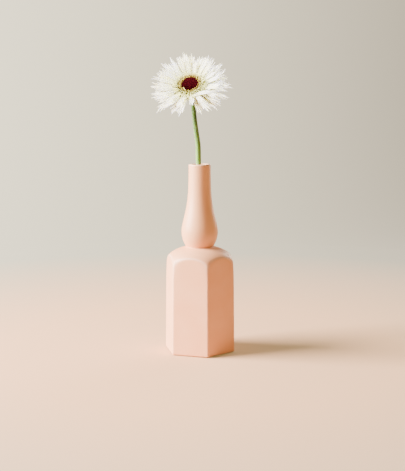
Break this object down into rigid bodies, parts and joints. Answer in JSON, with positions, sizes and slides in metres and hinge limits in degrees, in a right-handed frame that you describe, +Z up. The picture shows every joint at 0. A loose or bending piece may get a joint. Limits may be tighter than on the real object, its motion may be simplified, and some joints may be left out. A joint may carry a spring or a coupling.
{
  "type": "gerbera daisy in a vase",
  "caption": "One cut white fringed gerbera daisy standing in a hexagonal ceramic bottle vase with a domed shoulder, a round bulb and a slim neck.",
  "frame": {"origin": "centre of the vase's flat foot, on the surface that it stands on", "axes": "+Z up the vase; two of its six faces look along -Y and +Y; the flower looks along -Y and upwards"},
  "size_m": [0.1035, 0.1093, 0.3791],
  "materials": {
    "glaze": "satin",
    "stem_green": "satin",
    "bract_green": "matte",
    "petal_white": "satin",
    "bud_maroon": "matte",
    "anther_gold": "matte",
    "floret_cream": "matte"
  },
  "bodies": {
    "root": {"vase": "glaze", "stem": "stem_green", "receptacle": "bract_green", "disc_buds": "bud_maroon", "open_florets": "anther_gold", "trans_florets": "floret_cream", "outer_petal_01": "petal_white", "outer_petal_02": "petal_white", "outer_petal_03": "petal_white", "outer_petal_04": "petal_white", "outer_petal_05": "petal_white", "outer_petal_06": "petal_white", "outer_petal_07": "petal_white", "outer_petal_08": "petal_white", "outer_petal_09": "petal_white", "outer_petal_10": "petal_white", "outer_petal_11": "petal_white", "outer_petal_12": "petal_white", "outer_petal_13": "petal_white", "outer_petal_14": "petal_white", "outer_petal_15": "petal_white", "middle_petal_01": "petal_white", "middle_petal_02": "petal_white", "middle_petal_03": "petal_white", "middle_petal_04": "petal_white", "middle_petal_05": "petal_white", "middle_petal_06": "petal_white", "middle_petal_07": "petal_white", "middle_petal_08": "petal_white", "middle_petal_09": "petal_white", "middle_petal_10": "petal_white", "middle_petal_11": "petal_white", "middle_petal_12": "petal_white", "middle_petal_13": "petal_white", "middle_petal_14": "petal_white", "inner_petal_01": "petal_white", "inner_petal_02": "petal_white", "inner_petal_03": "petal_white", "inner_petal_04": "petal_white", "inner_petal_05": "petal_white", "inner_petal_06": "petal_white", "inner_petal_07": "petal_white", "inner_petal_08": "petal_white", "inner_petal_09": "petal_white", "inner_petal_10": "petal_white", "inner_petal_11": "petal_white", "inner_petal_12": "petal_white", "inner_petal_13": "petal_white", "inner_petal_14": "petal_white", "inner_petal_15": "petal_white", "inner_petal_16": "petal_white", "bract_01": "bract_green", "bract_02": "bract_green", "bract_03": "bract_green", "bract_04": "bract_green", "bract_05": "bract_green", "bract_06": "bract_green", "bract_07": "bract_green", "bract_08": "bract_green", "bract_09": "bract_green"}
  },
  "joints": []
}
